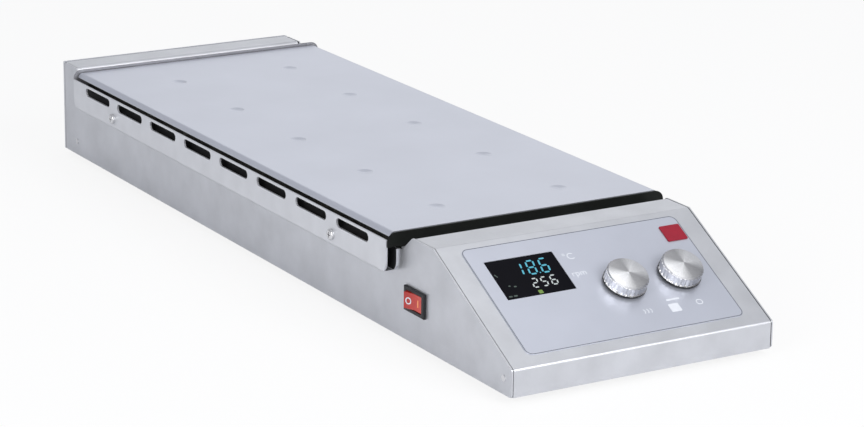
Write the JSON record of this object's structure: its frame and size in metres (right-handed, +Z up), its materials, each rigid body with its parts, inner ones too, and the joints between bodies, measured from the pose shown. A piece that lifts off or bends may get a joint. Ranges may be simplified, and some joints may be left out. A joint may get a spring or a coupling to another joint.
{
  "type": "multi-position hotplate stirrer",
  "caption": "Long low hotplate stirrer: sloping console with display and two knobs, heated steel deck with dished stirring places over belt-driven magnets, slotted side skirts.",
  "frame": {"origin": "on the table, under the middle of the overall length and width", "axes": "+Z up, the console faces -Y, +X to the right of someone who stands at the console and looks along +Y"},
  "size_m": [0.2074, 0.625, 0.072],
  "materials": {
    "housing_paint": "satin powder coat",
    "deck_steel": "matt, faintly lilac",
    "shadow_steel": "matt dark grey",
    "zinc_steel": "zinc plated",
    "bare_aluminium": "mill finish",
    "knob_metal": "turned, dark anodised",
    "black_plastic": "fine grain",
    "overlay_film": "printed polyester film",
    "display_glass": "gloss",
    "red_tile": "gloss",
    "red_lens": "gloss, lit from inside",
    "circuit_board": "solder mask",
    "fibre_board": "pressed mineral fibre",
    "heater_mat": "silicone rubber",
    "belt_rubber": "matt",
    "foot_rubber": "matt",
    "brass_fitting": "nickelled"
  },
  "bodies": {
    "housing": {"base_pan": "housing_paint", "left_side_panel": "housing_paint", "right_side_panel": "housing_paint", "console_cover": "housing_paint", "rear_hood": "housing_paint", "rear_panel": "housing_paint", "hot_plate": "deck_steel", "heat_spreader": "bare_aluminium", "heating_element": "heater_mat", "insulation_board": "fibre_board", "insulation_tray": "zinc_steel", "temperature_sensor": "brass_fitting", "front_bulkhead": "shadow_steel", "rear_bulkhead": "shadow_steel", "left_skirt": "housing_paint", "right_skirt": "housing_paint", "skirt_spacers": "zinc_steel", "skirt_screws": "zinc_steel", "case_screws": "zinc_steel", "rubber_feet": "foot_rubber", "foot_screws": "zinc_steel", "drive_chassis": "bare_aluminium", "chassis_pillars": "zinc_steel", "rotor_spindles": "zinc_steel", "drive_belts": "belt_rubber", "drive_motor": "shadow_steel", "control_overlay": "overlay_film", "display_window": "display_glass", "display_module": "black_plastic", "badge_tile": "red_tile", "control_board": "circuit_board", "control_board_posts": "zinc_steel", "heat_encoder": "zinc_steel", "speed_encoder": "zinc_steel", "power_switch": "black_plastic", "mains_inlet": "black_plastic", "fuse_holder": "black_plastic", "probe_socket": "black_plastic", "power_board": "circuit_board", "power_board_posts": "zinc_steel"},
    "rotor_body_01": {"rotor_01": "black_plastic"},
    "rotor_body_02": {"rotor_02": "black_plastic"},
    "rotor_body_03": {"rotor_03": "black_plastic"},
    "rotor_body_04": {"rotor_04": "black_plastic"},
    "rotor_body_05": {"rotor_05": "black_plastic"},
    "rotor_body_06": {"rotor_06": "black_plastic"},
    "rotor_body_07": {"rotor_07": "black_plastic"},
    "rotor_body_08": {"rotor_08": "black_plastic"},
    "rotor_body_09": {"rotor_09": "black_plastic"},
    "rotor_body_10": {"rotor_10": "black_plastic"},
    "motor_rotor": {"motor_pulley": "black_plastic", "motor_shaft": "zinc_steel"},
    "heat_push": {"heat_plunger": "black_plastic"},
    "heat_control": {"heat_knob": "knob_metal", "heat_shaft": "zinc_steel"},
    "speed_push": {"speed_plunger": "black_plastic"},
    "speed_control": {"speed_knob": "knob_metal", "speed_shaft": "zinc_steel"},
    "rocker_body": {"power_rocker": "red_lens"}
  },
  "joints": [
    {"name": "rotor_01_spin", "type": "hinge", "parent": "housing", "child": "rotor_body_01", "pos_m": [-0.045, -0.1475, 0.0367], "axis": [0, 0, 1], "continuous": true},
    {"name": "rotor_02_spin", "type": "hinge", "parent": "housing", "child": "rotor_body_02", "pos_m": [-0.045, -0.0575, 0.0367], "axis": [0, 0, 1], "continuous": true},
    {"name": "rotor_03_spin", "type": "hinge", "parent": "housing", "child": "rotor_body_03", "pos_m": [-0.045, 0.0325, 0.0367], "axis": [0, 0, 1], "continuous": true},
    {"name": "rotor_04_spin", "type": "hinge", "parent": "housing", "child": "rotor_body_04", "pos_m": [-0.045, 0.1225, 0.0367], "axis": [0, 0, 1], "continuous": true},
    {"name": "rotor_05_spin", "type": "hinge", "parent": "housing", "child": "rotor_body_05", "pos_m": [-0.045, 0.2125, 0.0367], "axis": [0, 0, 1], "continuous": true},
    {"name": "rotor_06_spin", "type": "hinge", "parent": "housing", "child": "rotor_body_06", "pos_m": [0.045, -0.1475, 0.0367], "axis": [0, 0, 1], "continuous": true},
    {"name": "rotor_07_spin", "type": "hinge", "parent": "housing", "child": "rotor_body_07", "pos_m": [0.045, -0.0575, 0.0367], "axis": [0, 0, 1], "continuous": true},
    {"name": "rotor_08_spin", "type": "hinge", "parent": "housing", "child": "rotor_body_08", "pos_m": [0.045, 0.0325, 0.0367], "axis": [0, 0, 1], "continuous": true},
    {"name": "rotor_09_spin", "type": "hinge", "parent": "housing", "child": "rotor_body_09", "pos_m": [0.045, 0.1225, 0.0367], "axis": [0, 0, 1], "continuous": true},
    {"name": "rotor_10_spin", "type": "hinge", "parent": "housing", "child": "rotor_body_10", "pos_m": [0.045, 0.2125, 0.0367], "axis": [0, 0, 1], "continuous": true},
    {"name": "motor_spin", "type": "hinge", "parent": "housing", "child": "motor_rotor", "pos_m": [0, -0.1475, 0.03], "axis": [0, 0, 1], "continuous": true},
    {"name": "heat_knob_push", "type": "slide", "parent": "housing", "child": "heat_push", "axis": [0, 0.4785, -0.8781], "range_m": [0, 0.001], "stiffness_N_per_m": 1500, "springref_m": -0.0008},
    {"name": "heat_knob_turn", "type": "hinge", "parent": "heat_push", "child": "heat_control", "pos_m": [0.013, -0.27169, 0.04943], "axis": [0, -0.4785, 0.8781], "continuous": true},
    {"name": "speed_knob_push", "type": "slide", "parent": "housing", "child": "speed_push", "axis": [0, 0.4785, -0.8781], "range_m": [0, 0.001], "stiffness_N_per_m": 1500, "springref_m": -0.0008},
    {"name": "speed_knob_turn", "type": "hinge", "parent": "speed_push", "child": "speed_control", "pos_m": [0.053, -0.27169, 0.04943], "axis": [0, -0.4785, 0.8781], "continuous": true},
    {"name": "power_rocker_tip", "type": "hinge", "parent": "housing", "child": "rocker_body", "pos_m": [-0.09254, -0.2049, 0.0318], "axis": [0, 0, -1], "range_deg": [0, 22]}
  ],
  "couplings": [
    {"joint": "rotor_02_spin", "follows": "rotor_01_spin", "ratio": 1},
    {"joint": "rotor_03_spin", "follows": "rotor_01_spin", "ratio": 1},
    {"joint": "rotor_04_spin", "follows": "rotor_01_spin", "ratio": 1},
    {"joint": "rotor_05_spin", "follows": "rotor_01_spin", "ratio": 1},
    {"joint": "rotor_06_spin", "follows": "rotor_01_spin", "ratio": 1},
    {"joint": "rotor_07_spin", "follows": "rotor_01_spin", "ratio": 1},
    {"joint": "rotor_08_spin", "follows": "rotor_01_spin", "ratio": 1},
    {"joint": "rotor_09_spin", "follows": "rotor_01_spin", "ratio": 1},
    {"joint": "rotor_10_spin", "follows": "rotor_01_spin", "ratio": 1},
    {"joint": "motor_spin", "follows": "rotor_01_spin", "ratio": 2}
  ]
}
